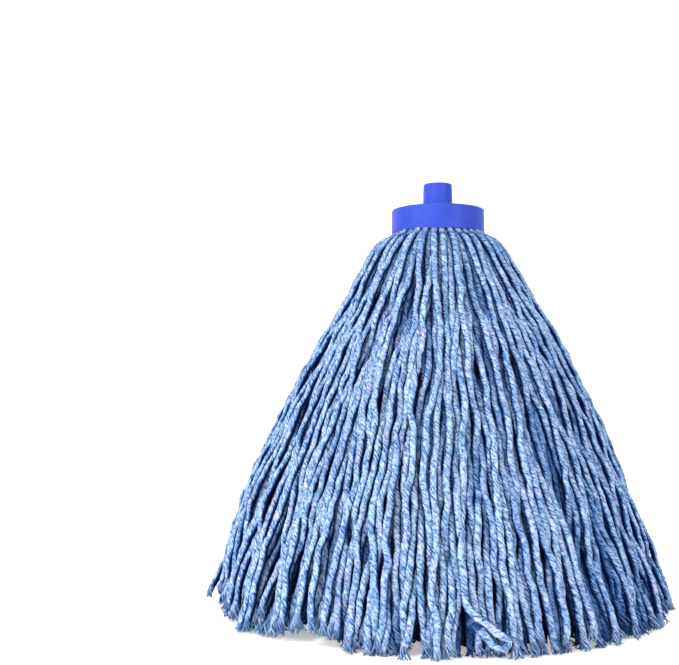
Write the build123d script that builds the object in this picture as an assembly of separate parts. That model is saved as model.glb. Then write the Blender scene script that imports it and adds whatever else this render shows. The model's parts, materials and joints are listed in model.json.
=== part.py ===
from build123d import *
import math
import os

# String mop head for a screw-in handle, standing upright on its spread yarn.
# Millimetres. The origin is on the floor under the middle of the head and +Z is up, along the handle.

# Moulded socket cap: a drum that holds the yarn, with a threaded boss on top for the handle
MOUTH_Z = 320.0
DRUM_TOP_Z = 341.0
BOSS_TOP_Z = 364.0
DRUM_RADIUS = 40.6
DRUM_TOP_RADIUS = 40.4
DRUM_EDGE_RADIUS = 1.1
WALL = 2.2
TOP_WALL = 2.6
BOSS_BASE_RADIUS = 13.0
BOSS_TOP_RADIUS = 12.5
BOSS_EDGE_RADIUS = 0.8
THREAD_MAJOR_RADIUS = 9.6
THREAD_DEPTH = 27.0
THREAD_LEAD_IN = 0.6
BORE_FLOOR = 3.0
POST_RADIUS = 6.0
POST_LENGTH = 5.0
PILOT_RADIUS = 2.0
PILOT_CAP = 2.0
RIB_COUNT = 8
RIB_THICKNESS = 1.6
RIB_HEIGHT = 2.4

# Snap-in ring that keeps the bound yarn head in the drum
RING_HEIGHT = 5.6
RING_RECESS = 0.4
RING_THICKNESS = 2.0
BEAD_Z = 323.4
BEAD_DEPTH = 0.55
BEAD_HALF_HEIGHT = 0.9
BEAD_CLEARANCE = 0.06
TOOTH_COUNT = 24
TOOTH_LENGTH = 1.0
TOOTH_WIDTH = 1.2
TOOTH_HEIGHT = 4.0

# Screw and washer that pull the yarn head up against the post
WASHER_RADIUS = 11.0
WASHER_HOLE_RADIUS = 2.2
WASHER_THICKNESS = 1.5
SCREW_HEAD_RADIUS = 4.2
SCREW_HEAD_HEIGHT = 2.5
SCREW_TIP = 1.8
RECESS_LENGTH = 4.6
RECESS_WIDTH = 0.9
RECESS_DEPTH = 1.3

# Binding cord, three turns round the folded yarn inside the drum
CORD_RADIUS = 1.4
CORD_TURNS = 3
CORD_GAP = 0.15

# Yarn: the folded head and the neck are inside the drum, then an inner core and a ring of outer locks
HEAD_BOTTOM_Z = 326.0
HEAD_TOP_Z = 335.8
HEAD_RADIUS = 33.4
NECK_RADIUS = 34.6
NECK_FLARE_Z = 318.0
NECK_BOTTOM_Z = 311.0
SOFT_CLEARANCE = 0.3
SKIRT_RADIUS = 204.0
SKIRT_SHOULDER = (50.0, 316.0)
SKIRT_BULGE = 14.0
LOCK_FOOT = 22.0
LOCK_THROAT = (36.0, 311.3)
LOCK_HEEL = (34.6, 309.0)
CORE_TOP = (33.5, 310.5)
CORE_CLEARANCE = 0.8
LOCK_COUNT = 12
LOCK_GAP_DEGREES = 1.4

INNER_RADIUS = DRUM_RADIUS - WALL
ROOF_Z = DRUM_TOP_Z - TOP_WALL
BORE_FLOOR_Z = BOSS_TOP_Z - THREAD_DEPTH
POST_TOP_Z = BORE_FLOOR_Z - BORE_FLOOR
POST_BOTTOM_Z = POST_TOP_Z - POST_LENGTH
PILOT_TOP_Z = BORE_FLOOR_Z - PILOT_CAP


def turned(outline):
    """A full turn about Z of a closed outline drawn as (radius, height)."""
    return revolve(Plane.XZ * make_face(outline), Axis.Z, 360)


def bowed(start, end, bulge):
    """A single arc from start to end that stands out from its chord, away from the axis."""
    middle_r = (start[0] + end[0]) / 2
    middle_z = (start[1] + end[1]) / 2
    chord = math.dist(start, end)
    out_r = abs(end[1] - start[1]) / chord
    out_z = abs(end[0] - start[0]) / chord
    middle = (middle_r + bulge * out_r, middle_z + bulge * out_z)
    return ThreePointArc(start, middle, end)


def socket_cap():
    """Drum, boss, blind threaded bore, screw post and stiffening ribs in one moulding."""
    outline = [
        (INNER_RADIUS + 0.4, MOUTH_Z),
        (DRUM_RADIUS, MOUTH_Z),
        (DRUM_TOP_RADIUS, DRUM_TOP_Z),
        (BOSS_BASE_RADIUS, DRUM_TOP_Z),
        (BOSS_TOP_RADIUS, BOSS_TOP_Z),
        (THREAD_MAJOR_RADIUS + THREAD_LEAD_IN, BOSS_TOP_Z),
        (THREAD_MAJOR_RADIUS, BOSS_TOP_Z - THREAD_LEAD_IN),
        (THREAD_MAJOR_RADIUS, BORE_FLOOR_Z),
        (0, BORE_FLOOR_Z),
        (0, PILOT_TOP_Z),
        (PILOT_RADIUS, PILOT_TOP_Z),
        (PILOT_RADIUS, POST_BOTTOM_Z),
        (POST_RADIUS, POST_BOTTOM_Z),
        (POST_RADIUS, POST_TOP_Z),
        (BOSS_BASE_RADIUS, POST_TOP_Z),
        (BOSS_BASE_RADIUS, ROOF_Z),
        (INNER_RADIUS, ROOF_Z),
        (INNER_RADIUS, BEAD_Z + BEAD_HALF_HEIGHT),
        (INNER_RADIUS + BEAD_DEPTH, BEAD_Z + BEAD_HALF_HEIGHT / 2),
        (INNER_RADIUS + BEAD_DEPTH, BEAD_Z - BEAD_HALF_HEIGHT / 2),
        (INNER_RADIUS, BEAD_Z - BEAD_HALF_HEIGHT),
        (INNER_RADIUS, MOUTH_Z + 0.4),
    ]
    body = turned(Polyline(*outline, close=True))

    def rim(radius, height):
        return body.edges().filter_by(GeomType.CIRCLE).filter_by(
            lambda e: abs(e.radius - radius) < 1e-3 and abs(e.center(CenterOf.MASS).Z - height) < 1e-3
        )

    body = fillet(rim(DRUM_TOP_RADIUS, DRUM_TOP_Z), DRUM_EDGE_RADIUS)
    body = fillet(rim(BOSS_TOP_RADIUS, BOSS_TOP_Z), BOSS_EDGE_RADIUS)
    body = fillet(rim(BOSS_BASE_RADIUS, DRUM_TOP_Z), BOSS_EDGE_RADIUS)
    body = fillet(rim(DRUM_RADIUS, MOUTH_Z), BOSS_EDGE_RADIUS / 2)
    rib_start = BOSS_BASE_RADIUS - 0.5
    rib_end = INNER_RADIUS + 0.5
    rib = Pos((rib_start + rib_end) / 2, 0, ROOF_Z - RIB_HEIGHT / 2 + 0.25) * Box(
        rib_end - rib_start, RIB_THICKNESS, RIB_HEIGHT + 0.5
    )
    for i in range(RIB_COUNT):
        body += Rot(0, 0, 360 * i / RIB_COUNT) * rib
    return body


def retaining_ring():
    """Ring with an outer snap bead and inward teeth that bite the yarn."""
    low = MOUTH_Z + RING_RECESS
    high = low + RING_HEIGHT
    inner = INNER_RADIUS - RING_THICKNESS
    bead = INNER_RADIUS + BEAD_DEPTH - BEAD_CLEARANCE
    half = BEAD_HALF_HEIGHT - BEAD_CLEARANCE
    outline = [
        (inner, low),
        (INNER_RADIUS, low),
        (INNER_RADIUS, BEAD_Z - half),
        (bead, BEAD_Z - half / 2),
        (bead, BEAD_Z + half / 2),
        (INNER_RADIUS, BEAD_Z + half),
        (INNER_RADIUS, high),
        (inner, high),
    ]
    ring = turned(Polyline(*outline, close=True))
    tooth_r = inner - TOOTH_LENGTH / 2 + 0.25
    tooth = Pos(tooth_r, 0, (low + high) / 2) * Box(TOOTH_LENGTH + 0.5, TOOTH_WIDTH, TOOTH_HEIGHT)
    for i in range(TOOTH_COUNT):
        ring += Rot(0, 0, 360 * i / TOOTH_COUNT) * tooth
    return ring


def clamp_washer():
    """Flat steel washer under the folded yarn."""
    middle_z = HEAD_BOTTOM_Z - WASHER_THICKNESS / 2
    disc = Cylinder(WASHER_RADIUS, WASHER_THICKNESS) - Cylinder(WASHER_HOLE_RADIUS, WASHER_THICKNESS)
    return Pos(0, 0, middle_z) * disc


def clamp_screw():
    """Pan-head screw driven up through the washer and the yarn into the post."""
    seat = HEAD_BOTTOM_Z - WASHER_THICKNESS
    low = seat - SCREW_HEAD_HEIGHT
    tip = PILOT_TOP_Z - 0.2
    outline = [
        (0, low),
        (SCREW_HEAD_RADIUS - 0.8, low),
        (SCREW_HEAD_RADIUS, low + 0.8),
        (SCREW_HEAD_RADIUS, seat),
        (PILOT_RADIUS, seat),
        (PILOT_RADIUS, tip - SCREW_TIP),
        (0.3, tip),
        (0, tip),
    ]
    screw = turned(Polyline(*outline, close=True))
    slot = Pos(0, 0, low + RECESS_DEPTH / 2) * Box(RECESS_LENGTH, RECESS_WIDTH, RECESS_DEPTH)
    screw -= slot
    screw -= Rot(0, 0, 90) * slot
    return screw


def binding_cord():
    """The turns of cord that bind the folded yarn, lying side by side against the drum wall."""
    pitch = 2 * CORD_RADIUS + CORD_GAP
    first_z = HEAD_BOTTOM_Z + CORD_RADIUS + CORD_GAP
    loop = Torus(HEAD_RADIUS + CORD_RADIUS + CORD_GAP, CORD_RADIUS)
    return Compound([Pos(0, 0, first_z + pitch * i) * loop for i in range(CORD_TURNS)])


def yarn_head():
    """The folded middle of every strand, packed round the post above the washer."""
    post = POST_RADIUS + SOFT_CLEARANCE
    tube = BOSS_BASE_RADIUS + SOFT_CLEARANCE
    outline = [
        (PILOT_RADIUS + SOFT_CLEARANCE, HEAD_BOTTOM_Z),
        (HEAD_RADIUS, HEAD_BOTTOM_Z),
        (HEAD_RADIUS, HEAD_TOP_Z),
        (tube, HEAD_TOP_Z),
        (tube, POST_TOP_Z - SOFT_CLEARANCE),
        (post, POST_TOP_Z - SOFT_CLEARANCE),
        (post, POST_BOTTOM_Z - SOFT_CLEARANCE),
        (PILOT_RADIUS + SOFT_CLEARANCE, POST_BOTTOM_Z - SOFT_CLEARANCE),
    ]
    return turned(Polyline(*outline, close=True))


def yarn_neck():
    """The strands where they pass side by side through the ring and out of the mouth."""
    pocket_r = WASHER_RADIUS + SOFT_CLEARANCE
    pocket_z = HEAD_BOTTOM_Z - WASHER_THICKNESS - SCREW_HEAD_HEIGHT - SOFT_CLEARANCE
    outline = [
        (0, NECK_BOTTOM_Z),
        (CORE_TOP[0], NECK_BOTTOM_Z),
        (NECK_RADIUS, NECK_FLARE_Z),
        (NECK_RADIUS, HEAD_BOTTOM_Z),
        (pocket_r, HEAD_BOTTOM_Z),
        (pocket_r, pocket_z),
        (0, pocket_z),
    ]
    return turned(Polyline(*outline, close=True))


def yarn_core():
    """The inner strands as one bowed cone that stands on the floor and carries the cap."""
    foot = (SKIRT_RADIUS - LOCK_FOOT - CORE_CLEARANCE, 0)
    flank = bowed(foot, CORE_TOP, SKIRT_BULGE)
    rest = Polyline(CORE_TOP, (0, CORE_TOP[1]), (0, 0), foot)
    return turned(flank + rest)


def yarn_lock():
    """One lock of outer strands: a sector of the skirt, centred on +X, that stands on the floor."""
    foot_in = (SKIRT_RADIUS - LOCK_FOOT, 0)
    foot_out = (SKIRT_RADIUS, 0)
    outer = bowed(foot_out, SKIRT_SHOULDER, SKIRT_BULGE)
    top = Polyline(SKIRT_SHOULDER, LOCK_THROAT, LOCK_HEEL)
    inner = bowed(LOCK_HEEL, foot_in, SKIRT_BULGE)
    sole = Line(foot_in, foot_out)
    sector = 360 / LOCK_COUNT - LOCK_GAP_DEGREES
    profile = Plane.XZ * make_face(outer + top + inner + sole)
    return Rot(0, 0, -sector / 2) * revolve(profile, Axis.Z, sector)


def build():
    """Every node of the mop head by name."""
    nodes = {
        "socket_cap": socket_cap(),
        "retaining_ring": retaining_ring(),
        "clamp_washer": clamp_washer(),
        "clamp_screw": clamp_screw(),
        "binding_cord": binding_cord(),
        "yarn_head": yarn_head(),
        "yarn_neck": yarn_neck(),
        "yarn_core": yarn_core(),
    }
    lock = yarn_lock()
    for i in range(LOCK_COUNT):
        turn = 360 * (i + 0.5) / LOCK_COUNT
        nodes[f"yarn_lock_{i + 1:02d}"] = Rot(0, 0, turn) * lock
    return nodes


os.makedirs("parts", exist_ok=True)
for name, shape in build().items():
    export_step(shape, f"parts/{name}.step")
    print(name, round(shape.volume / 1000, 2), "cm3")
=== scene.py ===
"""Yarn, plastic, stage and camera for the string mop head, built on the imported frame."""
import json
import math

import bpy
import numpy as np
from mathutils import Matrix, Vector

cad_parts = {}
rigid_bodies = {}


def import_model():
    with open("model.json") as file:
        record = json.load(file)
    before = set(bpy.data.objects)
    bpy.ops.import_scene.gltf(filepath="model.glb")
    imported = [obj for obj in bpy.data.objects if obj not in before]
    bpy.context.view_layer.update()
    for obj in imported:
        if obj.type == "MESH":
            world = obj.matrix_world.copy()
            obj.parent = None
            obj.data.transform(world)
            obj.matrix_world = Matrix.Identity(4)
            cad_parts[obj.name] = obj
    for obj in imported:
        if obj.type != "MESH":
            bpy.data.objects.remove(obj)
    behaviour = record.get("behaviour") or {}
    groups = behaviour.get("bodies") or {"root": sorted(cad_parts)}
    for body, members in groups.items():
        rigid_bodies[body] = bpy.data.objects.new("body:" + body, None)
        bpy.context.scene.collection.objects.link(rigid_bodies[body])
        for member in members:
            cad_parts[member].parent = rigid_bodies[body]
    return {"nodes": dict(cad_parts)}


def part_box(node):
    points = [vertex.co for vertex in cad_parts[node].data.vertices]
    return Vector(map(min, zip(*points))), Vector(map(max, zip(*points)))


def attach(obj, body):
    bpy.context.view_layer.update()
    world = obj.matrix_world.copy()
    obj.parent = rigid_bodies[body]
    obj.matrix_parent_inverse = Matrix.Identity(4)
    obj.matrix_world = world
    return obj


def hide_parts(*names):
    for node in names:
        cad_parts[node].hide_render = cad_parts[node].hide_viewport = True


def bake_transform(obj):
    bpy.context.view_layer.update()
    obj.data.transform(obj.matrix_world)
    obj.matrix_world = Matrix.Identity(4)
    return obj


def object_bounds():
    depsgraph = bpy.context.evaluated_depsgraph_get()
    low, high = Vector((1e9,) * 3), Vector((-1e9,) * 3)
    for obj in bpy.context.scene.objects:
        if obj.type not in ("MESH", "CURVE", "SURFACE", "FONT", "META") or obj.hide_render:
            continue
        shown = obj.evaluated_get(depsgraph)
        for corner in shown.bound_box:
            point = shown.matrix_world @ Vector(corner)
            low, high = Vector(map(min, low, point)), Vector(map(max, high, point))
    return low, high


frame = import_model()
cad_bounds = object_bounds()

# ---------------------------------------------------------------- sizes, in metres
CAP_LOW, CAP_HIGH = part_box("socket_cap")
MOUTH_Z = CAP_LOW[2]
CAP_TOP = CAP_HIGH[2]
DRUM_RADIUS = CAP_HIGH[0]
SKIRT_RADIUS = cad_bounds[1][0]
LOCKS = sum(1 for name in frame["nodes"] if name.startswith("yarn_lock"))

# the yarn: half its thickness, and the length of one turn of its twist
YARN_RADIUS = 0.0027
YARN_PITCH = 0.019
PLIES = 6

# the angle that one lock takes up
SECTOR = math.tau / LOCKS
SEED = 41

# strands of one lock in each ring of the mouth, outermost first, and strands of each inner ring
LOCK_RINGS = (3, 5, 6, 6)
CORE_RINGS = (64, 38, 18)
CORE_PARTS = 4

# rings of strands in the mouth, and the length of a strand with the number of points laid out along it
FIRST_RING_RADIUS = 0.0356
RING_STEP = 0.0036
STRAND_LENGTH = 0.372
LEVELS = 46

# the skirt leans a little towards -x
LEAN = 0.0048

# centre line of an outermost strand: (out, up) from the mouth's first ring, then from the drum's lower edge
ROOT_STEPS = ((0.0, 0.008), (0.0003, 0.002))
SHOULDER_STEPS = ((-0.0012, -0.0046), (0.0032, -0.0058), (0.0070, -0.0078),
                  (0.0114, -0.0110), (0.0162, -0.0162))
# where its straighter part starts, how far inside the skirt's edge it ends, and how far it bows out between
KNEE_STEP = (0.0212, -0.0232)
FOOT_INSET = 0.0068
BOW = 0.0092

# how far strands sway sideways, and how deep outer and inner ones lie under the skirt's surface
SWAY = 0.0037
OUTER_DEPTH, OUTER_WAVE, OUTER_RING_STEP = 0.0035, 0.0046, 0.0012
INNER_DEPTH, INNER_WAVE, INNER_RING_STEP = 0.008, 0.003, 0.0055
ROOT_JITTER = 0.0012

# a strand on the axis hangs this far down for each metre of its length
AXIS_DROP = 0.93

# how strands are kept apart: how far one may stand out of the skirt's surface, the number of rounds, and
# in each round the share of the push, of the smoothing along a strand, and of its offset that is kept
SKIN = 0.0022
RELAX_ROUNDS = 150
PUSH, SMOOTHING, HOLD = 0.75, 0.35, 0.995

# a strand's sideways kinks, how much thicker its two ends are, the length of its unravelled end, and how
# high above the floor it stops at the least
KINK = 0.0012
ROOT_SWELL, FOOT_SWELL = 0.22, 0.08
FRAY_SHORT, FRAY_LONG = 0.0045, 0.011
SHORTEST_RISE = 0.0010


def smooth(x, low=0.0, high=1.0):
    """0 below low, 1 above high, with a soft start and end."""
    x = np.clip((x - low) / (high - low), 0.0, 1.0)
    return x * x * (3 - 2 * x)


def leaning(t):
    """How far the skirt has leaned along x at a share t of a strand's length."""
    return -LEAN * smooth(t, 0.1, 0.9)


# ---------------------------------------------------------------- strand paths
def spline(points, count):
    """A Catmull-Rom curve through the points, as count points at equal steps along it."""
    points = np.asarray(points, float)
    ends = np.vstack([2 * points[0] - points[1], points, 2 * points[-1] - points[-2]])
    fine = []
    for a, b, c, d in zip(ends[:-3], ends[1:-2], ends[2:-1], ends[3:]):
        t = np.linspace(0, 1, 24, endpoint=False)[:, None]
        fine.append(0.5 * (2 * b + (c - a) * t + (2 * a - 5 * b + 4 * c - d) * t**2
                           + (3 * b - a - 3 * c + d) * t**3))
    fine = np.vstack(fine + [points[-1:]])
    return even_steps(fine, count)


def even_steps(line, count):
    """The same line as count points at equal steps."""
    along = np.concatenate([[0], np.cumsum(np.linalg.norm(np.diff(line, axis=0), axis=1))])
    at = np.linspace(0, along[-1], count)
    return np.stack([np.interp(at, along, line[:, k]) for k in range(line.shape[1])], axis=1)


def skirt_profile():
    """Centre line of the outermost strands as (radius, height) from inside the mouth to the floor."""
    points = [(FIRST_RING_RADIUS + out, MOUTH_Z + up) for out, up in ROOT_STEPS]
    points += [(DRUM_RADIUS + out, MOUTH_Z + up) for out, up in SHOULDER_STEPS]
    knee = (DRUM_RADIUS + KNEE_STEP[0], MOUTH_Z + KNEE_STEP[1])
    foot = SKIRT_RADIUS - FOOT_INSET
    chord = np.array([foot - knee[0], -knee[1]])
    normal = np.array([-chord[1], chord[0]]) / np.hypot(*chord)
    for f in (0.0, 0.12, 0.25, 0.4, 0.55, 0.7, 0.85, 1.0):
        points.append(tuple(np.array(knee) + chord * f + normal * BOW * 4 * f * (1 - f)))
    return spline(points, LEVELS)


def wander(rng, count, levels, waves, power=1.0):
    """A smooth random wave along each strand: count rows, one value a level, about -1 to 1."""
    t = np.linspace(0, 1, levels)
    total = np.zeros((count, levels))
    for wave in waves:
        phase = rng.uniform(0, 2 * math.pi, (count, 1))
        rate = wave * rng.uniform(0.8, 1.25, (count, 1))
        height = rng.uniform(0.5, 1.0, (count, 1))
        total += np.sin(2 * math.pi * rate * t + phase) * height / wave**power
    return total


class Strands:
    """Every strand of the head: its lock (or -1 for the core), its roots and its path."""

    def __init__(self):
        self.rng = np.random.default_rng(SEED)
        self.profile = skirt_profile()
        lock, azimuth, ring = [], [], []
        for k in range(LOCKS):
            for j, count in enumerate(LOCK_RINGS):
                for n in range(count):
                    lock.append(k)
                    ring.append(j)
                    shift = 0.25 * (j % 2)
                    azimuth.append(SECTOR * (k + (n + 0.5 + shift) / (count + shift)))
        for j, count in enumerate(CORE_RINGS):
            for n in range(count):
                lock.append(-1)
                ring.append(j + len(LOCK_RINGS))
                azimuth.append(2 * math.pi * (n + 0.5 * (j % 2)) / count)
        self.lock = np.array(lock)
        self.ring = np.array(ring)
        self.azimuth = np.array(azimuth)
        self.count = len(lock)
        self.in_core = self.lock < 0
        self.path = self.relaxed(self.first_guess())

    def spread_azimuth(self):
        """Each lock's strands side by side at even steps round the skirt, in a shuffled order of rings."""
        spread = self.azimuth.copy()
        for k in range(LOCKS):
            own = np.flatnonzero(self.lock == k)
            jitter = self.rng.normal(0, 0.035, len(own))
            order = own[np.argsort(self.azimuth[own] + jitter)]
            even = (np.arange(len(own)) + 0.5) / len(own)
            spread[order] = SECTOR * (k + even)
        return spread

    def clumps(self, azimuth, groups_of, strength):
        """Azimuths drawn towards the middle of small groups of neighbours."""
        drawn = azimuth.copy()
        for members in (np.flatnonzero(~self.in_core), np.flatnonzero(self.in_core)):
            order = members[np.argsort(azimuth[members])]
            start = 0
            while start < len(order):
                size = int(self.rng.integers(*groups_of))
                group = order[start:start + size]
                pull = strength * self.rng.uniform(0.5, 1.0)
                drawn[group] += (azimuth[group].mean() - azimuth[group]) * pull
                start += size
        return drawn

    def first_guess(self):
        """Paths by level, before strands are kept apart: even fans with groups, waves and depths."""
        t = np.linspace(0, 1, LEVELS)
        rng = self.rng
        spread = self.spread_azimuth()
        upper = self.clumps(spread, (2, 4), 0.35)
        middle = self.clumps(upper, (2, 6), 0.55)
        lower = self.clumps(spread, (3, 7), 0.6)
        rows = [self.azimuth, upper, middle, lower]
        stops = [0.02, 0.22, 0.55, 0.95]
        azimuth = np.stack([np.interp(t, stops, [row[i] for row in rows]) for i in range(self.count)])
        kernel = np.hanning(9) / np.hanning(9).sum()
        padded = np.pad(azimuth, ((0, 0), (4, 4)), mode="edge")
        azimuth = np.stack([np.convolve(row, kernel, mode="valid") for row in padded])
        radius = np.maximum(self.profile[:, 0], 0.03)
        sway = wander(rng, self.count, LEVELS, (1.3, 2.6, 5.2, 8.5), 0.75)
        azimuth = azimuth + SWAY * sway * smooth(t, 0.06, 0.35) / radius
        reach = self.profile[:, 0]
        root = 1 - self.ring * RING_STEP / FIRST_RING_RADIUS
        outer_depth = OUTER_DEPTH + OUTER_WAVE * wander(rng, self.count, LEVELS, (0.8, 2.1, 4.4), 0.6)
        outer_depth += OUTER_RING_STEP * self.ring[:, None]
        inner_depth = INNER_DEPTH + INNER_RING_STEP * (self.ring[:, None] - len(LOCK_RINGS))
        inner_depth = inner_depth + INNER_WAVE * wander(rng, self.count, LEVELS, (0.8, 2.1), 0.6)
        depth = np.where(self.in_core[:, None], inner_depth, np.maximum(outer_depth, 0))
        settled = 1 - depth / reach
        blend = np.where(self.in_core[:, None], smooth(t, 0.05, 0.6), smooth(t, 0.04, 0.34))
        share = root[:, None] * (1 - blend) + settled * blend
        along = t * STRAND_LENGTH
        axis_z = self.profile[0, 1] - along * AXIS_DROP
        r = self.profile[:, 0] * share
        z = axis_z + (self.profile[:, 1] - axis_z) * share
        jitter = ROOT_JITTER * rng.uniform(-0.9, 1.1, (self.count, 1))
        z = z + jitter * np.exp(-((t - 0.035) / 0.03) ** 2)
        lean = leaning(t)
        return np.stack([r * np.cos(azimuth) + lean, r * np.sin(azimuth), z], axis=2)

    def relaxed(self, path):
        """Pushes strands apart to a yarn's thickness, level by level, and keeps each one smooth."""
        t = np.linspace(0, 1, LEVELS)
        rest = path.copy()
        # strands are pressed thinner where the mouth holds them
        apart = 2 * YARN_RADIUS * (0.78 + 0.22 * smooth(t, 0.02, 0.1))
        limit = self.profile[:, 0] + SKIN
        lean = leaning(t)
        pairs = None
        for step in range(RELAX_ROUNDS):
            if step % 10 == 0:
                pairs = self.near_pairs(path, 2.2 * YARN_RADIUS * 2)
            level, a, b = pairs
            gap = path[a, level] - path[b, level]
            dist = np.linalg.norm(gap, axis=1) + 1e-9
            over = np.clip(apart[level] - dist, 0, None)
            move = gap / dist[:, None] * (0.5 * over)[:, None]
            push = np.zeros_like(path)
            np.add.at(push, (a, level), move)
            np.add.at(push, (b, level), -move)
            path = path + PUSH * push
            offset = path - rest
            inner = offset[:, 1:-1]
            bend = 0.5 * (offset[:, :-2] + offset[:, 2:]) - inner
            offset[:, 1:-1] += SMOOTHING * bend
            offset *= HOLD
            offset[:, :3] *= 0.5
            path = rest + offset
            r = np.hypot(path[:, :, 0] - lean, path[:, :, 1])
            squeeze = 0.5 + 0.5 * np.where(r > limit, limit / np.maximum(r, 1e-6), 1.0)
            path[:, :, 0] = lean + (path[:, :, 0] - lean) * squeeze
            path[:, :, 1] *= squeeze
        return path

    def near_pairs(self, path, reach):
        """Level, first strand and second strand of every pair closer than reach."""
        levels, firsts, seconds = [], [], []
        for k in range(LEVELS):
            at = path[:, k]
            square = ((at[:, None] - at[None]) ** 2).sum(axis=2)
            a, b = np.nonzero(np.triu(square < reach * reach, 1))
            levels.append(np.full(len(a), k))
            firsts.append(a)
            seconds.append(b)
        return np.concatenate(levels), np.concatenate(firsts), np.concatenate(seconds)


# ---------------------------------------------------------------- meshes
class Soup:
    """Collects tubes and makes one mesh of them, with yarn and bake coordinates, tone and shade."""

    def __init__(self, strips=1):
        self.strips, self.used = strips, 0
        self.points, self.faces4, self.caps, self.uv4, self.bake4 = [], [], [], [], []
        self.tones, self.shades = [], []
        self.total = 0

    def strip(self):
        """The next strand's share of the bake layout, as left and right."""
        self.used += 1
        return (self.used - 0.96) / self.strips, (self.used - 0.04) / self.strips

    def tube(self, rings, tone, along, shade, cell, wraps=1):
        """Adds a closed tube from rings of points: sections by columns by 3.

        cell is the tube's place in the bake layout: left, right, low and high.
        """
        sections, columns = rings.shape[:2]
        index = self.total + np.arange(sections * columns).reshape(sections, columns)
        right = np.roll(index, -1, axis=1)
        quads = np.stack([index[:-1], right[:-1], right[1:], index[1:]], axis=2).reshape(-1, 4)
        left, right_edge, low, high = cell
        u = np.arange(columns + 1) / columns
        v = np.linspace(high, low, sections)

        def corners(across, down):
            """Four corners of each face's place between the given lines."""
            u0, v0 = np.meshgrid(across[:-1], down[:-1])
            u1, v1 = np.meshgrid(across[1:], down[1:])
            return np.stack([u0, v0, u1, v0, u1, v1, u0, v1], axis=2).reshape(-1, 8)

        self.points.append(rings.reshape(-1, 3))
        self.faces4.append(quads)
        self.uv4.append(corners(u * wraps, along))
        self.bake4.append(corners(left + u * (right_edge - left), v))
        middle = (left + right_edge) / 2
        self.caps.append((index[0][::-1], along[0], (middle, high)))
        self.caps.append((index[-1], along[-1], (middle, low)))
        self.tones.append(np.full(sections * columns, tone, np.float32))
        self.shades.append((np.ones((sections, columns)) * shade).ravel().astype(np.float32))
        self.total += sections * columns

    def mesh(self, name):
        """One mesh of every tube added so far."""
        mesh = bpy.data.meshes.new(name)
        points = np.vstack(self.points)
        quads = np.vstack(self.faces4)
        loops = np.concatenate([quads.ravel()] + [cap for cap, _, _ in self.caps])
        cap_sizes = [len(cap) for cap, _, _ in self.caps]
        sizes = np.concatenate([np.full(len(quads), 4), cap_sizes]).astype(int)
        starts = np.concatenate([[0], np.cumsum(sizes)[:-1]])
        mesh.vertices.add(len(points))
        mesh.vertices.foreach_set("co", points.astype(np.float32).ravel())
        mesh.loops.add(len(loops))
        mesh.loops.foreach_set("vertex_index", loops.astype(np.int32))
        mesh.polygons.add(len(starts))
        mesh.polygons.foreach_set("loop_start", starts.astype(np.int32))
        mesh.polygons.foreach_set("use_smooth", np.ones(len(starts), bool))
        mesh.update(calc_edges=True)
        caps = [np.tile([0.0, along], len(cap)) for cap, along, _ in self.caps]
        places = [np.tile(place, len(cap)) for cap, _, place in self.caps]
        for layer, sides, ends in (("Yarn", self.uv4, caps), ("OFBake", self.bake4, places)):
            uv = mesh.uv_layers.new(name=layer)
            flat = np.concatenate([np.vstack(sides).ravel()] + ends)
            uv.data.foreach_set("uv", flat.astype(np.float32))
        tone = mesh.attributes.new("tone", "FLOAT", "POINT")
        tone.data.foreach_set("value", np.concatenate(self.tones))
        # painted shade that the yarn material darkens its colour by: deep, grooved and turned-away parts
        shade = mesh.attributes.new("shade", "FLOAT", "POINT")
        shade.data.foreach_set("value", np.concatenate(self.shades))
        mesh.validate()
        return mesh


def frames(line):
    """Two directions across a line that runs down the skirt, at each of its points."""
    tangent = np.gradient(line, axis=0)
    tangent /= np.linalg.norm(tangent, axis=1)[:, None]
    side = np.stack([-line[:, 1], line[:, 0], np.zeros(len(line))], axis=1)
    side /= np.linalg.norm(side, axis=1)[:, None] + 1e-12
    side -= (side * tangent).sum(axis=1)[:, None] * tangent
    side /= np.linalg.norm(side, axis=1)[:, None]
    return side, np.cross(tangent, side)


def yarn_section(plies):
    """Angles, relative radii and shades of a section with a groove between each two plies; the shades paint
    the grooves darker.
    """
    angles = np.arange(2 * plies) * math.tau / (2 * plies)
    ridge = np.arange(2 * plies) % 2 == 1
    # the third values are painted shade: darker in the grooves between plies
    return angles, np.where(ridge, 1.035, 0.915), np.where(ridge, 1.0, 0.72)


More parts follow.
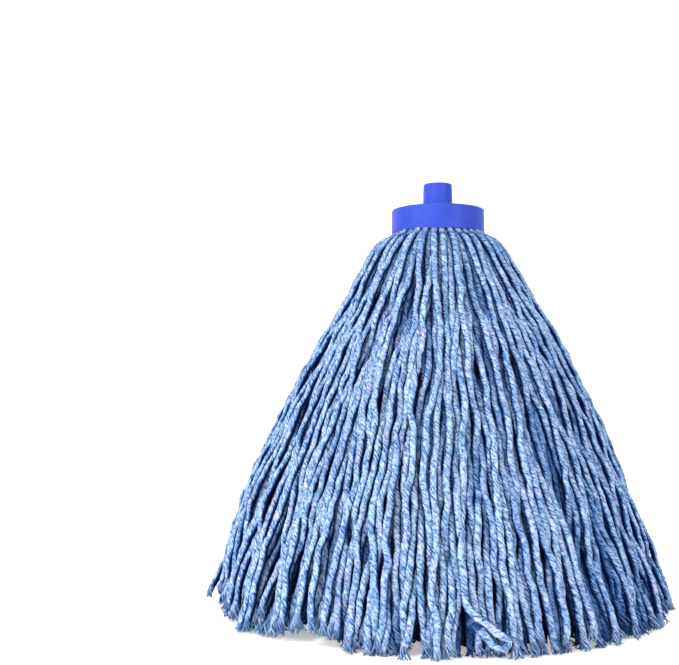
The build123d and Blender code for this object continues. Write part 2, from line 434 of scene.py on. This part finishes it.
def add_strand(soup, path, depth, rng, plies, per_turn, tone, cut):
    """One twisted strand with an unravelled end.

    depth is how far inside the skirt each level lies, per_turn the sections in one turn of the twist,
    and cut the strand's length from its root.
    """
    length = np.linalg.norm(np.diff(path, axis=0), axis=1).sum()
    cut = min(cut, length)
    fine = even_steps(path_curve(path), int(length / (YARN_PITCH / per_turn)))
    along = np.linspace(0, length, len(fine))
    keep = along <= cut
    fine, along = fine[keep], along[keep]
    sunk = np.interp(along, np.linspace(0, length, len(depth)), depth)
    side, out = frames(fine)
    free = smooth(along, 0.02, 0.08)
    for axis in (side, out):
        kink = np.zeros(len(along))
        for wave in (0.019, 0.031, 0.047):
            rate = math.tau / (wave * rng.uniform(0.8, 1.25))
            kink += rng.uniform(0.1, 0.3) * np.sin(along * rate + rng.uniform(0, 6.3))
        fine = fine + (KINK * kink * free)[:, None] * axis
    side, out = frames(fine)
    fray = rng.uniform(FRAY_SHORT, FRAY_LONG)
    end_at = cut - fray * 0.75
    body = along <= end_at
    angles, radii, grooves = yarn_section(plies)
    pitch = YARN_PITCH * rng.uniform(0.88, 1.14)
    turn = -math.tau * along / pitch + rng.uniform(0, math.tau)
    turn += 0.28 * np.sin(along * rng.uniform(60, 110) + rng.uniform(0, math.tau))
    turn += 0.18 * np.sin(along * rng.uniform(180, 260) + rng.uniform(0, math.tau))
    uneven = rng.uniform(-1, 1, (len(along), 2 * plies))
    uneven = (uneven + np.roll(uneven, 1, axis=0)) / 2
    wave = 1 + 0.05 * np.sin(along * rng.uniform(140, 200) + rng.uniform(0, 6))
    wave += 0.03 * np.sin(along * rng.uniform(380, 520) + rng.uniform(0, 6))
    swell = 1 + ROOT_SWELL * (1 - smooth(along, 0.01, 0.07)) + FOOT_SWELL * smooth(along, 0.15, 0.35)
    size = YARN_RADIUS * wave * swell
    size = size * (1 - 0.55 * smooth(along, end_at - 0.004, end_at))
    psi = turn[:, None] + angles[None]
    reach = size[:, None] * (radii[None] + 0.07 * uneven)
    rings = (fine[:, None] + (reach * np.cos(psi))[..., None] * side[:, None]
             + (reach * np.sin(psi))[..., None] * out[:, None])
    # painted shade: a strand is darkened the deeper it lies inside the skirt's surface
    painted_depth_shade = 1 - 0.55 * smooth(sunk, 0.0035, 0.012)
    # painted shade: a strand is darker near its root at the drum's mouth
    painted_depth_shade = painted_depth_shade * (0.84 + 0.16 * smooth(along, 0.03, 0.11))
    outward = fine[:, :2] / np.linalg.norm(fine[:, :2], axis=1)[:, None]
    cross = (np.cos(psi) * (side[:, :2] * outward).sum(axis=1)[:, None]
             + np.sin(psi) * (out[:, :2] * outward).sum(axis=1)[:, None])
    # painted shade: the sides of a strand that turn away from the outside, where its neighbours press, are
    # darkened
    painted_side_shade = smooth(cross, 0.02, 0.58)
    # painted shade: near the root the grooves are painted with more contrast
    crisp = 0.25 * (1 - smooth(along, 0.04, 0.14))[:, None] * (grooves[None] - 0.5)
    # the painted shade of each point, from depth, grooves and turned-away sides, with random flecks
    shade = painted_depth_shade[:, None] * (grooves[None] + crisp + 0.46 * uneven) * painted_side_shade
    left, right = soup.strip()
    soup.tube(rings[body], tone, along[body], shade[body], (left, right, 0.14, 0.998))
    strand = np.column_stack([fine, side, out, turn])
    add_fray(soup, along, strand, cut, fray, rng, tone, painted_depth_shade[-1], (left, right))


def path_curve(path):
    """A smooth dense line through a strand's level points."""
    return spline(path, len(path) * 6)


def add_fray(soup, along, strand, cut, fray, rng, tone, shade, strip):
    """The last bit of a strand, where its plies come apart into short wisps.

    strand has a row for each value of along: the centre, two cross directions and the twist.
    """
    start = cut - fray - 0.004
    at = np.linspace(start, cut, 9)
    values = np.stack([np.interp(at, along, column) for column in strand.T], axis=1)
    base, s, o, spin = values[:, :3], values[:, 3:6], values[:, 6:9], values[:, 9]
    loose = smooth(at, cut - fray, cut)
    columns = 5
    ring = np.arange(columns) * math.tau / columns
    for ply in range(PLIES):
        angle = spin + math.tau * (ply + 0.5) / PLIES
        angle = angle + loose * rng.uniform(-0.2, 1.0)
        away = YARN_RADIUS * (0.62 + loose * rng.uniform(-0.35, 0.95))
        centre = base + (away * np.cos(angle))[:, None] * s + (away * np.sin(angle))[:, None] * o
        centre[:, 2] = np.maximum(centre[:, 2], 0.0009)
        reach = rng.uniform(0.86, 1.0)
        size = YARN_RADIUS * (0.40 - 0.08 * loose)
        rings = (centre[:, None] + (size[:, None] * np.cos(ring)[None])[..., None] * s[:, None]
                 + (size[:, None] * np.sin(ring)[None])[..., None] * o[:, None])
        count = max(5, int(round(reach * len(at))))
        ply_tone = tone + rng.uniform(-0.15, 0.15)
        # the ply keeps the strand's painted depth shade, times a random tone
        ply_shade = shade * rng.uniform(0.56, 1.0)
        # painted shade: the side of a ply that turns inwards is darkened
        painted_side_shade = 0.45 + 0.55 * smooth(np.sin(ring), -0.4, 0.6)
        edges = np.interp([ply, ply + 1], [0, PLIES], strip)
        soup.tube(rings[:count], ply_tone, at[:count], ply_shade * painted_side_shade[None], (*edges, 0.03, 0.13))
        add_wisps(soup, centre[count - 2:count], rng, ply_tone, at[count - 1], ply_shade, edges)


def add_wisps(soup, end, rng, tone, along, shade, edges, count=5):
    """Short tapered fibres at a ply's cut end, given as its last two points."""
    before, tip = end
    heading = tip - before
    heading /= np.linalg.norm(heading) + 1e-9
    ring = np.arange(3) * math.tau / 3
    for n in range(count):
        aim = heading + rng.normal(0, 0.38, 3)
        aim /= np.linalg.norm(aim)
        sag = np.cross(aim, rng.normal(0, 1, 3))
        sag /= np.linalg.norm(sag) + 1e-9
        reach = rng.uniform(0.0015, 0.0042)
        steps = np.array([-0.3, 0.4, 1.0])
        line = tip + steps[:, None] * reach * aim + (steps**2)[:, None] * reach * 0.35 * sag
        line[:, 2] = np.maximum(line[:, 2], 0.0004)
        width = np.array([0.00055, 0.00038, 0.00012])
        cross = np.cross(aim, sag)
        rings = (line[:, None] + (width[:, None] * np.cos(ring)[None])[..., None] * sag
                 + (width[:, None] * np.sin(ring)[None])[..., None] * cross)
        cell = (*np.interp([n, n + 1], [0, count], edges), 0.002, 0.024)
        soup.tube(rings, tone + rng.uniform(-0.1, 0.1), along + steps * reach, shade, cell)


def new_object(name, data):
    """An object in the scene that holds the given mesh, light or camera."""
    thing = bpy.data.objects.new(name, data)
    bpy.context.scene.collection.objects.link(thing)
    return thing


def add_piece(name, mesh, body):
    """A finished piece that rides one body."""
    piece = new_object(name, mesh)
    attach(piece, body)
    return piece


# ---------------------------------------------------------------- materials
class Nodes:
    """A small helper that adds and joins shader nodes."""

    def __init__(self, name):
        self.material = bpy.data.materials.new(name)
        self.material.use_nodes = True
        self.tree = self.material.node_tree
        self.shader = self.tree.nodes["Principled BSDF"]

    def add(self, kind, inputs=None, **settings):
        """A node whose inputs are linked or set, by socket name or number."""
        node = self.tree.nodes.new(kind)
        for key, value in settings.items():
            setattr(node, key, value)
        for key, value in (inputs or {}).items():
            if isinstance(value, bpy.types.NodeSocket):
                self.tree.links.new(value, node.inputs[key])
            else:
                node.inputs[key].default_value = value
        return node

    def math(self, operation, a, b=0.0):
        """One step of arithmetic."""
        return self.add("ShaderNodeMath", {0: a, 1: b}, operation=operation).outputs[0]

    def ramp(self, value, stops):
        """A colour ramp through the stops, each a place and a colour."""
        node = self.add("ShaderNodeValToRGB", {"Fac": value})
        elements = node.color_ramp.elements
        while len(elements) < len(stops):
            elements.new(0.5)
        for element, (place, colour) in zip(elements, stops):
            element.position = place
            element.color = (*colour, 1)
        return node.outputs["Color"]

    def multiply(self, a, b):
        """Two colours multiplied."""
        node = self.add("ShaderNodeMix", {0: 1.0, 6: a, 7: b}, data_type="RGBA", blend_type="MULTIPLY")
        return node.outputs[2]

    def cloud(self, scale, detail):
        """Noise that stays with the object."""
        where = self.add("ShaderNodeTexCoord").outputs["Object"]
        values = {"Vector": where, "Scale": scale, "Detail": detail}
        return self.add("ShaderNodeTexNoise", values).outputs["Fac"]

    def between(self, value, low, high):
        """A value from 0 to 1 as one from low to high."""
        return self.add("ShaderNodeMapRange", {"Value": value, "To Min": low, "To Max": high}).outputs[0]

    def bump(self, height, strength, distance):
        """A normal that follows small hills and hollows."""
        values = {"Height": height, "Strength": strength, "Distance": distance}
        return self.add("ShaderNodeBump", values).outputs[0]

    def set(self, **values):
        """Links or sets the shader's sockets."""
        for key, value in values.items():
            socket = self.shader.inputs[key.replace("_", " ")]
            if isinstance(value, bpy.types.NodeSocket):
                self.tree.links.new(value, socket)
            else:
                socket.default_value = value


# stops of the yarn's colour ramps: fibres from dark to pale, teal and lilac patches, darker and paler
# strands, and the painted shade that turns grooves, turned-away sides and buried strands a deep blue
FIBRE_BLUES = [(0.38, (0.045, 0.10, 0.208)), (0.45, (0.154, 0.232, 0.348)), (0.51, (0.247, 0.325, 0.438)),
               (0.57, (0.308, 0.376, 0.475)), (0.65, (0.36, 0.42, 0.51))]
PATCH_TINTS = [(0.30, (0.82, 1.01, 0.98)), (0.45, (1.0, 1.0, 1.0)), (0.55, (1.0, 1.0, 1.0)),
               (0.68, (1.22, 0.96, 1.00))]
STRAND_TINTS = [(0.0, (0.76, 0.82, 0.90)), (0.5, (1.0, 1.0, 1.0)), (1.0, (1.14, 1.10, 1.04))]
PAINTED_SHADE_TINTS = [(0.0, (0.002, 0.020, 0.11)), (0.35, (0.075, 0.165, 0.36)), (0.65, (0.42, 0.565, 0.77)),
               (1.0, (1.0, 1.0, 1.0))]


def yarn_material():
    """Blue melange cotton: fibres of several blues and white run along each ply."""
    n = Nodes("yarn_melange")
    uv = n.add("ShaderNodeUVMap", uv_map="Yarn").outputs[0]
    parts = n.add("ShaderNodeSeparateXYZ", {0: uv}).outputs
    tone = n.add("ShaderNodeAttribute", attribute_name="tone").outputs["Fac"]
    lift = n.math("MULTIPLY", tone, 37.0)

    def field(across, along, detail, offset=0.0):
        """Noise along the yarn: cells round it and cells per metre, different on each strand."""
        vector = n.add("ShaderNodeCombineXYZ", {
            "X": n.math("MULTIPLY", parts[0], across),
            "Y": n.math("MULTIPLY", parts[1], along),
            "Z": n.math("ADD", lift, offset)}).outputs[0]
        return n.add("ShaderNodeTexNoise", {"Vector": vector, "Scale": 1.0, "Detail": detail,
                                            "Roughness": 0.6}).outputs["Fac"]

    shade = n.add("ShaderNodeAttribute", attribute_name="shade").outputs["Fac"]
    plies = field(11.0, 90.0, 1.0, offset=5.0)
    fibres = field(10.0, 440.0, 2.0)
    patches = field(2.0, 45.0, 2.0, offset=23.0)
    blend = n.math("ADD", n.math("MULTIPLY", plies, 0.16), n.math("MULTIPLY", fibres, 0.84))
    colour = n.ramp(blend, FIBRE_BLUES)
    tint = n.ramp(patches, PATCH_TINTS)
    colour = n.multiply(colour, tint)
    own = n.ramp(tone, STRAND_TINTS)
    colour = n.multiply(colour, own)
    # painted shade: the shade attribute darkens the yarn's colour towards a deep blue
    sunk = n.ramp(shade, PAINTED_SHADE_TINTS)
    colour = n.multiply(colour, sunk)
    n.set(Base_Color=colour, Roughness=0.92, Normal=n.bump(blend, 0.8, 0.0007))
    n.shader.inputs["Sheen Weight"].default_value = 0.03
    n.shader.inputs["Sheen Roughness"].default_value = 0.5
    n.shader.inputs["Sheen Tint"].default_value = (0.3, 0.5, 1.0, 1)
    n.shader.inputs["Specular IOR Level"].default_value = 0.01
    return n.material


def plastic_material(name, colour, roughness):
    """Injection-moulded plastic: faint mottling and a fine grain."""
    n = Nodes(name)
    cloud = n.cloud(45.0, 3.0)
    low = tuple(c * 0.93 for c in colour)
    high = tuple(min(1.0, c * 1.07) for c in colour)
    base = n.ramp(cloud, [(0.35, low), (0.65, high)])
    rough = n.between(cloud, roughness - 0.05, roughness + 0.07)
    n.set(Base_Color=base, Roughness=rough, Normal=n.bump(n.cloud(2600.0, 2.0), 0.12, 0.0002))
    n.shader.inputs["Specular IOR Level"].default_value = 0.05
    return n.material


def steel_material():
    """Bright zinc-plated steel."""
    n = Nodes("zinc_steel")
    cloud = n.cloud(300.0, 4.0)
    base = n.ramp(cloud, [(0.3, (0.42, 0.43, 0.45)), (0.7, (0.62, 0.63, 0.66))])
    n.set(Base_Color=base, Roughness=n.between(cloud, 0.25, 0.45), Metallic=1.0)
    return n.material


def cotton_material():
    """Undyed cotton cord."""
    n = Nodes("binding_cotton")
    wave = n.cloud(1400.0, 3.0)
    base = n.ramp(wave, [(0.3, (0.62, 0.60, 0.55)), (0.7, (0.86, 0.85, 0.80))])
    n.set(Base_Color=base, Roughness=0.9, Normal=n.bump(wave, 0.6, 0.0004))
    return n.material


def stage_material():
    """Pale matt sweep that glows faintly as painted light, more so close to the mop, which keeps its shadow
    light.
    """
    n = Nodes("pale_stage")
    where = n.add("ShaderNodeTexCoord").outputs["Object"]
    base = n.ramp(n.cloud(1.5, 2.0), [(0.0, (0.90, 0.90, 0.90)), (1.0, (0.93, 0.93, 0.93))])
    reach = n.add("ShaderNodeVectorMath", {0: where}, operation="LENGTH").outputs["Value"]
    # painted light: the floor glows, most close to the mop, so the mop's shadow on it stays light
    glow = n.add("ShaderNodeMapRange", {"Value": reach, "From Min": 0.25, "From Max": 0.7, "To Min": 0.42,
                                        "To Max": 0.12}).outputs[0]
    n.set(Base_Color=base, Roughness=0.85, Emission_Strength=glow)
    n.shader.inputs["Emission Color"].default_value = (1, 1, 1, 1)
    return n.material


def dress(node, material):
    """Gives a CAD node its finished material."""
    piece = frame["nodes"][node]
    for holder in [piece] + list(piece.children_recursive):
        if holder.type == "MESH":
            for slot in holder.material_slots:
                slot.material = material


# ---------------------------------------------------------------- stage, lights and camera
def make_stage():
    """A round pale floor that curves up into a wall on every side."""
    flat, bend, wall = 2.2, 0.9, 5.0
    line = [(0.0, 0.0), (0.6, 0.0), (1.4, 0.0), (flat, 0.0)]
    for i in range(1, 13):
        a = math.pi / 2 * i / 12
        line.append((flat + bend * math.sin(a), bend * (1 - math.cos(a))))
    line.append((flat + bend, wall))
    segments = 96
    points, faces = [], []
    for r, z in line:
        for k in range(segments):
            a = math.tau * k / segments
            points.append((r * math.cos(a), r * math.sin(a), z))
    for i in range(len(line) - 1):
        for k in range(segments):
            j = (k + 1) % segments
            faces.append((i * segments + k, i * segments + j, (i + 1) * segments + j, (i + 1) * segments + k))
    mesh = bpy.data.meshes.new("stage_floor")
    mesh.from_pydata(points, [], faces)
    mesh.polygons.foreach_set("use_smooth", [True] * len(mesh.polygons))
    mesh.materials.append(stage_material())
    floor = new_object("stage_floor", mesh)


def add_light(name, place, size, power, aim):
    """A white rectangular lamp at place, turned to aim."""
    data = bpy.data.lights.new(name, "AREA")
    data.shape = "RECTANGLE"
    data.size, data.size_y = size
    data.energy = power
    light = new_object(name, data)
    light.location = place
    light.rotation_mode = "QUATERNION"
    light.rotation_quaternion = (Vector(aim) - Vector(place)).to_track_quat("-Z", "Y")


def make_lights():
    """One strong lamp at the front left, weak ones round it, and a soft sky."""
    middle = (0, 0, 0.18)
    add_light("key", (-0.75, -1.75, 1.45), (0.45, 0.45), 38, middle)
    add_light("fill", (1.6, -1.4, 0.9), (0.9, 0.9), 25, middle)
    add_light("low_left", (-1.35, -1.1, 0.3), (0.6, 0.5), 24, middle)
    add_light("top", (0.0, 0.1, 2.3), (1.2, 1.2), 8, middle)
    add_light("side", (-1.5, 1.0, 0.55), (1.0, 0.8), 3, middle)
    add_light("back", (0.9, 1.9, 1.3), (1.2, 0.9), 8, middle)
    world = bpy.data.worlds.new("soft_sky")
    world.use_nodes = True
    sky = world.node_tree.nodes["Background"]
    sky.inputs["Color"].default_value = (0.62, 0.86, 1.25, 1)
    sky.inputs["Strength"].default_value = 0.34
    bpy.context.scene.world = world
    bpy.context.scene.view_settings.view_transform = "Standard"


EYE_DISTANCE = 0.93
EYE_HEIGHT = 0.187
SENSOR_WIDTH_MM = 36.0
LENS_MM = 56.2003
EYE_TURN = math.radians(5.3357)
EYE_TILT = math.radians(2.8894)


def make_camera():
    """Low and level with the mop's middle, with the mop at the lower right of the view."""
    data = bpy.data.cameras.new("camera")
    data.sensor_width = SENSOR_WIDTH_MM
    data.lens = LENS_MM
    data.clip_start, data.clip_end = 0.05, 30
    camera = new_object("camera", data)
    camera.location = (0, -EYE_DISTANCE, EYE_HEIGHT)
    camera.rotation_euler = (math.pi / 2 + EYE_TILT, 0, EYE_TURN)
    bpy.context.scene.camera = camera


# ---------------------------------------------------------------- the head
# stretches of the hem that end higher or lower: bearing and half width in degrees, and lift in metres
UNEVEN_HEM = ((194, 17, 0.0125), (241, 8, 0.012), (262, 11, -0.003), (298, 6, -0.003), (318, 7, 0.001),
              (346, 8, 0.005))
EDGE_BEARING = 192.4
STRAY_EXTRA = 0.003

# the turned-back strand: the level and swing from the front (radians) where it leaves its own path, and
# then its distance to the right of the front, height, and distance outside the skirt's surface
LOOP_LEVEL = 33
LOOP_START = 0.097
LOOP = ((0.0200, 0.068, 0.0030), (0.0220, 0.044, 0.0045), (0.0255, 0.033, 0.0060), (0.0330, 0.028, 0.0070),
        (0.0410, 0.021, 0.0070), (0.0490, 0.0165, 0.0065), (0.0525, 0.0120, 0.0060),
        (0.0475, 0.0085, 0.0055), (0.0400, 0.0125, 0.0050), (0.0335, 0.0200, 0.0045),
        (0.0275, 0.0270, 0.0040))


def hem_lift(bearing):
    """How much higher than the floor the hem ends at a bearing in degrees."""
    return sum(lift * np.exp(-((bearing - at) / wide) ** 2) for at, wide, lift in UNEVEN_HEM)


def stray_strand(strands):
    """At the left edge one strand stands off the others, which lie closer in near the floor.

    Returns which strand that is.
    """
    t = np.linspace(0, 1, LEVELS)
    foot = strands.path[:, -1]
    bearing = np.degrees(np.arctan2(foot[:, 1], foot[:, 0] + LEAN)) % 360
    away = abs(bearing - EDGE_BEARING)
    pull = -0.054 * np.exp(-((away[:, None] / 18) ** 2)) * smooth(t, 0.74, 0.98)[None]
    stray = np.argmin(away + 360 * strands.in_core)
    pull[stray] = 0.068 * smooth(t, 0.80, 1.0)
    strands.path[:, :, :2] *= 1 + pull[..., None]
    return stray


def skirt_depth(strands, path):
    """How far each level point lies inside the outermost strands' surface."""
    return np.clip(strands.profile[:, 0] - np.hypot(path[:, 0], path[:, 1]), 0, 1)


def core_mass(strands):
    """The innermost strands, packed side by side as one closed ribbed bell."""
    soup = Soup()
    rng = np.random.default_rng(SEED + 2)
    ribs, sections = 190, 90
    columns = 3 * ribs
    levels = np.linspace(0.10, 0.985, sections)
    t = np.linspace(0, 1, LEVELS)
    r = np.interp(levels, t, strands.profile[:, 0])
    z = np.interp(levels, t, strands.profile[:, 1])
    inset = 0.014 + 0.012 * smooth(levels, 0.1, 0.5)
    angle = np.arange(columns) * math.tau / columns
    groove = np.arange(columns) % 3 == 0
    own = np.repeat(rng.uniform(-0.0012, 0.0012, ribs), 3)
    rib = np.where(groove, -0.0030, 0.0006) + own
    sway = 0.004 * np.sin(levels[:, None] * 11 + 5 * np.sin(angle[None] * 7)) / np.maximum(r[:, None], 0.05)
    radius = r[:, None] - inset[:, None] + rib[None]
    height = np.repeat((z - 0.25 * inset)[:, None], columns, axis=1)
    ragged = np.repeat(rng.uniform(0.001, 0.010, ribs), 3)
    hem = ragged + 1.2 * np.maximum(hem_lift(np.degrees(angle)), 0)
    height = np.maximum(height, hem[None])
    x = radius * np.cos(angle + sway) + leaning(levels)[:, None]
    rings = np.stack([x, radius * np.sin(angle + sway), height], axis=2)
    # painted shade: the core is painted darker as deep yarn in shade, its grooves nearly black
    shade = np.where(groove, 0.05, 0.38) * np.repeat(rng.uniform(0.7, 1.25, ribs), 3)
    whole = (0.002, 0.998, 0.002, 0.998)
    soup.tube(rings, 0.4, levels * 0.36, shade[None], whole, wraps=ribs)
    return soup


def turn_back(strands):
    """Lays one strand of the front right lock in a loop, turned back on itself just above the floor."""
    own = np.flatnonzero(strands.lock == LOCKS * 3 // 4)
    here = strands.path[own, LOOP_LEVEL]
    swing = np.arctan2(here[:, 1], here[:, 0]) + math.pi / 2
    chosen = own[np.argmin(abs(swing - LOOP_START))]
    t = np.linspace(0, 1, LEVELS)
    line = list(strands.path[chosen, :LOOP_LEVEL] * (1.012, 1.012, 1.0))
    for across, high, lift in LOOP:
        radius = np.interp(-high, -strands.profile[:, 1], strands.profile[:, 0]) + lift
        lean = leaning(np.interp(-high, -strands.profile[:, 1], t))
        angle = across / radius - math.pi / 2
        line.append((radius * math.cos(angle) + lean, radius * math.sin(angle), high))
    strands.path = np.concatenate([strands.path, spline(line, LEVELS)[None]])
    strands.lock = np.append(strands.lock, strands.lock[chosen])
    strands.in_core = np.append(strands.in_core, False)
    strands.count += 1


def floor_crossing(path):
    """The length of a path from its root to where it meets the floor."""
    steps = np.concatenate([[0], np.cumsum(np.linalg.norm(np.diff(path, axis=0), axis=1))])
    landed = path[:, 2] < SHORTEST_RISE
    if not landed.any():
        return steps[-1]
    k = np.argmax(landed)
    return np.interp(-SHORTEST_RISE, -path[k - 1:k + 1, 2], steps[k - 1:k + 1])


def build_strands():
    """One piece for each lock and a few for the core, from the same relaxed set of strands."""
    strands = Strands()
    stray = stray_strand(strands)
    turn_back(strands)
    yarn = yarn_material()
    rng = np.random.default_rng(SEED + 1)
    in_core = int(strands.in_core.sum())
    soups = {f"core_{part + 1}_strands": Soup(-(-in_core // CORE_PARTS)) for part in range(CORE_PARTS)}
    for k in range(LOCKS):
        soups[f"lock_{k + 1:02d}_strands"] = Soup(int((strands.lock == k).sum()))
    for i in range(strands.count):
        path = strands.path[i]
        depth = skirt_depth(strands, path)
        stop = floor_crossing(path)
        bearing = math.atan2(path[-1, 1], path[-1, 0] + LEAN) % math.tau
        short = float(hem_lift(math.degrees(bearing))) + abs(rng.normal(0.0, 0.0028))
        short += rng.uniform(0.004, 0.011) if rng.random() < 0.08 else 0
        cut = stop - max(short - (STRAY_EXTRA if i == stray else 0), 0)
        tone = float(np.clip(rng.normal(0.5, 0.2), 0, 1))
        if strands.in_core[i]:
            name = f"core_{i % CORE_PARTS + 1}_strands"
            add_strand(soups[name], path, depth, rng, 5, 7, tone, cut)
        else:
            name = f"lock_{strands.lock[i] + 1:02d}_strands"
            add_strand(soups[name], path, depth, rng, PLIES, 11, tone, cut)
    soups["core_mass"] = core_mass(strands)
    for name, soup in soups.items():
        mesh = soup.mesh(name)
        mesh.materials.append(yarn)
        if not name.startswith("lock"):
            piece = add_piece(name, mesh, "ferrule")
            if name == "core_1_strands":
                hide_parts("yarn_core", "yarn_neck", "yarn_head")
            continue
        piece = new_object(name, mesh)
        body = name.replace("_strands", "")
        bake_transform(piece)
        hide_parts("yarn_" + body)


def make_thread(material):
    """The coarse moulded thread that stands in from the wall of the handle socket."""
    bore, height, pitch = 0.0096, 0.0017, 0.00508
    bottom, top = CAP_TOP - 0.0255, CAP_TOP - 0.0025
    turns = (top - bottom) / pitch
    per_turn = 48
    count = int(turns * per_turn)
    # section of the thread: share of its height, and distance up or down
    flank = np.array([(-0.0001, -0.0016), (0.72, -0.0009), (1.0, -0.0004),
                      (1.0, 0.0004), (0.72, 0.0009), (-0.0001, 0.0016)])
    f = np.linspace(0, 1, count)
    stand = height * smooth(f, 0, 0.06) * (1 - smooth(f, 0.94, 1)) + 0.00005
    angle = math.tau * turns * f
    radius = bore + 0.00008 - stand[:, None] * np.maximum(flank[None, :, 0], 0)
    z = (bottom + (top - bottom) * f)[:, None] + flank[None, :, 1]
    points = np.stack([radius * np.cos(angle)[:, None], radius * np.sin(angle)[:, None], z], axis=2)
    columns = len(flank)
    index = np.arange(count * columns).reshape(count, columns)
    right = np.roll(index, -1, axis=1)
    quads = np.stack([index[:-1], index[1:], right[1:], right[:-1]], axis=2).reshape(-1, 4).tolist()
    mesh = bpy.data.meshes.new("socket_thread")
    ends = [index[0].tolist(), index[-1][::-1].tolist()]
    mesh.from_pydata(points.reshape(-1, 3).tolist(), [], quads + ends)
    mesh.polygons.foreach_set("use_smooth", [True] * len(mesh.polygons))
    mesh.materials.append(material)
    mesh.validate()
    return add_piece("socket_thread", mesh, "ferrule")


make_camera()
make_stage()
make_lights()
plastic = plastic_material("moulded_blue", (0.0240, 0.046, 0.295), 0.34)
dress("socket_cap", plastic)
make_thread(plastic)
dress("retaining_ring", plastic_material("moulded_blue_ring", (0.018, 0.042, 0.38), 0.5))
steel = steel_material()
dress("clamp_washer", steel)
dress("clamp_screw", steel)
dress("binding_cord", cotton_material())
build_strands()
